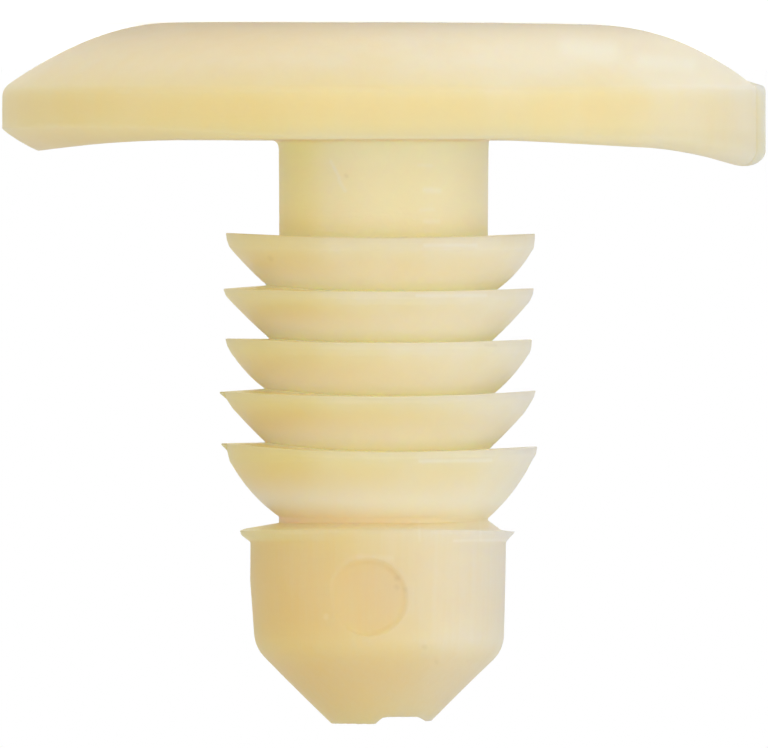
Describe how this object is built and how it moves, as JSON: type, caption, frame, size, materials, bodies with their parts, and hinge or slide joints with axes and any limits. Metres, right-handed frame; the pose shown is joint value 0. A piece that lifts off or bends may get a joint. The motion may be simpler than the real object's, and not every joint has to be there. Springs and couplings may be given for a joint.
{
  "type": "plastic push rivet",
  "caption": "Moulded nylon push rivet with a low domed round head and a barbed shank that grips a panel hole.",
  "frame": {"origin": "centre of the head's flat seat, on the shank's axis", "axes": "+Z along the shank from the head to the nose, X across the arch under the head, -Y toward the side of the nose with the ejector mark"},
  "size_m": [0.018, 0.018, 0.0164],
  "materials": {
    "natural_nylon": "satin"
  },
  "bodies": {
    "root": {"push_rivet": "natural_nylon"}
  },
  "joints": []
}
